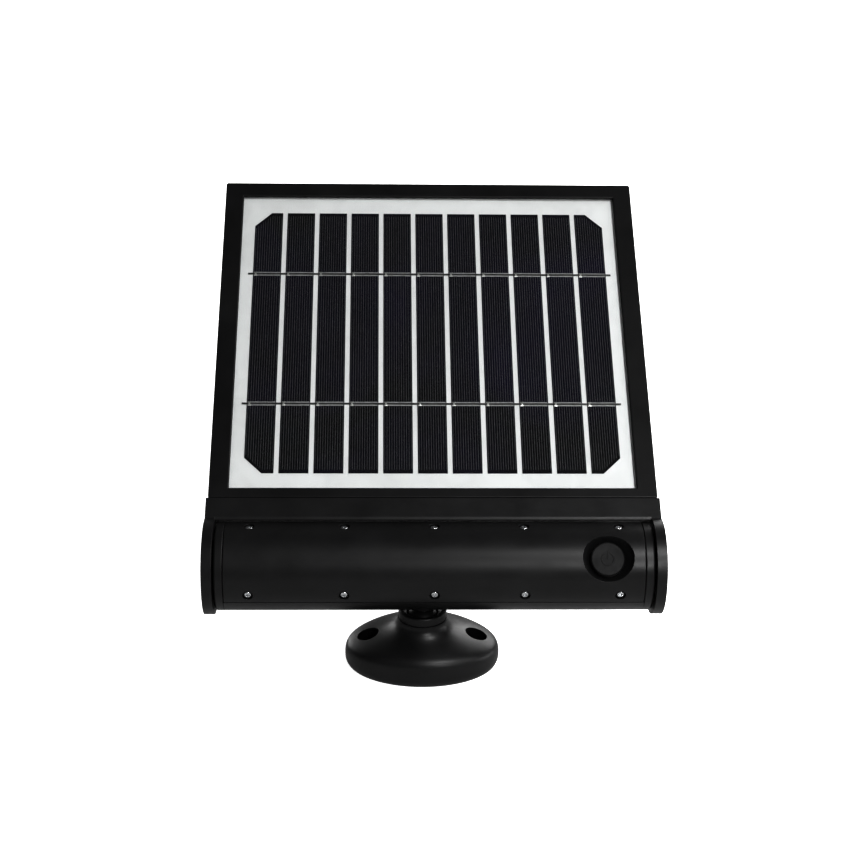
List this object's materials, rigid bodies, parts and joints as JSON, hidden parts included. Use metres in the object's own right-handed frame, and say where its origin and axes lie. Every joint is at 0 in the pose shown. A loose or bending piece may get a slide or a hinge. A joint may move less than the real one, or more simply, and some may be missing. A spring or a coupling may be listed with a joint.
{
  "type": "solar-powered security camera",
  "caption": "Tube-shaped outdoor camera with a tilting framed solar panel, on a ball-joint wall bracket with an oval screw-down foot.",
  "frame": {"origin": "middle of the bracket foot's flat underside, which lies on the mounting surface", "axes": "+Z out of the mounting surface, +X along the tube towards the end with the power button, -Y towards the front with the power button"},
  "size_m": [0.2152, 0.2038, 0.189],
  "materials": {
    "black_plastic": "fine-grained satin ABS",
    "frame_plastic": "smooth satin ABS",
    "button_rubber": "satin soft-touch cap",
    "black_rubber": "matt silicone",
    "seal_silicone": "grey silicone",
    "foam": "closed-cell foam",
    "nylon": "natural nylon",
    "steel": "bright zinc-plated steel",
    "glass": "clear low-iron glass",
    "window_glass": "smoked glass",
    "lens_glass": "coated lens glass",
    "clear_lens": "clear moulded acrylic",
    "milky_lens": "milky polyethylene",
    "backsheet": "white film",
    "silicon": "anti-reflection coated silicon",
    "tinned_ribbon": "tinned copper",
    "board": "green solder mask",
    "lamp": "phosphor",
    "cell_wrap": "shrink sleeve",
    "dark_plastic": "glass-filled nylon",
    "lead_pvc": "PVC sleeve"
  },
  "bodies": {
    "base": {"mount_base": "black_plastic"},
    "clamp_ring": {"lock_ring": "black_plastic"},
    "swivel": {"ball_seat": "nylon"},
    "tube": {"ball_stud": "black_plastic", "stud_nut": "steel", "tube_shell": "black_plastic", "front_cover": "black_plastic", "cover_gasket": "seal_silicone", "cover_screws": "steel", "end_seals": "seal_silicone", "end_cap_screws": "steel", "end_cap_left": "black_plastic", "end_cap_right": "black_plastic", "pivot_pins": "steel", "pivot_clips": "steel", "battery_cradle": "dark_plastic", "battery_contacts": "steel", "battery_lead": "lead_pvc", "battery_cell_left": "cell_wrap", "battery_cell_right": "cell_wrap", "main_board": "board", "board_screws": "steel", "image_sensor": "silicon", "lens_barrel": "dark_plastic", "lens_element": "lens_glass", "lens_bezel": "black_plastic", "lens_window": "window_glass", "light_lenses": "clear_lens", "light_leds": "lamp", "pir_dome": "milky_lens", "pir_sensor": "steel", "speaker": "dark_plastic", "button_board": "board", "tact_switch": "dark_plastic", "charge_port": "steel", "card_slot": "steel"},
    "panel": {"panel_housing": "black_plastic", "panel_bezel": "frame_plastic", "panel_seal": "foam", "terminal_box": "dark_plastic", "panel_lead": "lead_pvc", "panel_screws": "steel", "friction_washers": "nylon", "pivot_covers": "black_plastic", "cover_glass": "glass", "backsheet": "backsheet", "cell_ribbons": "tinned_ribbon", "cell_strip_01": "silicon", "cell_strip_02": "silicon", "cell_strip_03": "silicon", "cell_strip_04": "silicon", "cell_strip_05": "silicon", "cell_strip_06": "silicon", "cell_strip_07": "silicon", "cell_strip_08": "silicon", "cell_strip_09": "silicon", "cell_strip_10": "silicon", "cell_strip_11": "silicon"},
    "button": {"power_button": "button_rubber"},
    "flap": {"port_flap": "black_rubber"}
  },
  "joints": [
    {"name": "pan", "type": "hinge", "parent": "base", "child": "swivel", "pos_m": [0, 0, 0.0217], "axis": [0, 0, 1], "continuous": true},
    {"name": "nod", "type": "hinge", "parent": "swivel", "child": "tube", "pos_m": [0, 0, 0.0217], "axis": [1, 0, 0], "range_deg": [-15, 15]},
    {"name": "ring_turn", "type": "hinge", "parent": "base", "child": "clamp_ring", "pos_m": [0, 0, 0.0217], "axis": [0, 0, 1], "range_deg": [0, 90]},
    {"name": "panel_tilt", "type": "hinge", "parent": "tube", "child": "panel", "pos_m": [0.005, 0, 0.052], "axis": [1, 0, 0], "range_deg": [-35, 55]},
    {"name": "power_press", "type": "slide", "parent": "tube", "child": "button", "axis": [0, 0.7826, -0.6225], "range_m": [0, 0.0006], "stiffness_N_per_m": 3000, "springref_m": -0.0003},
    {"name": "flap_open", "type": "hinge", "parent": "tube", "child": "flap", "pos_m": [-0.075, 0.01389, 0.03652], "axis": [1, 0, 0], "range_deg": [0, 100]}
  ]
}
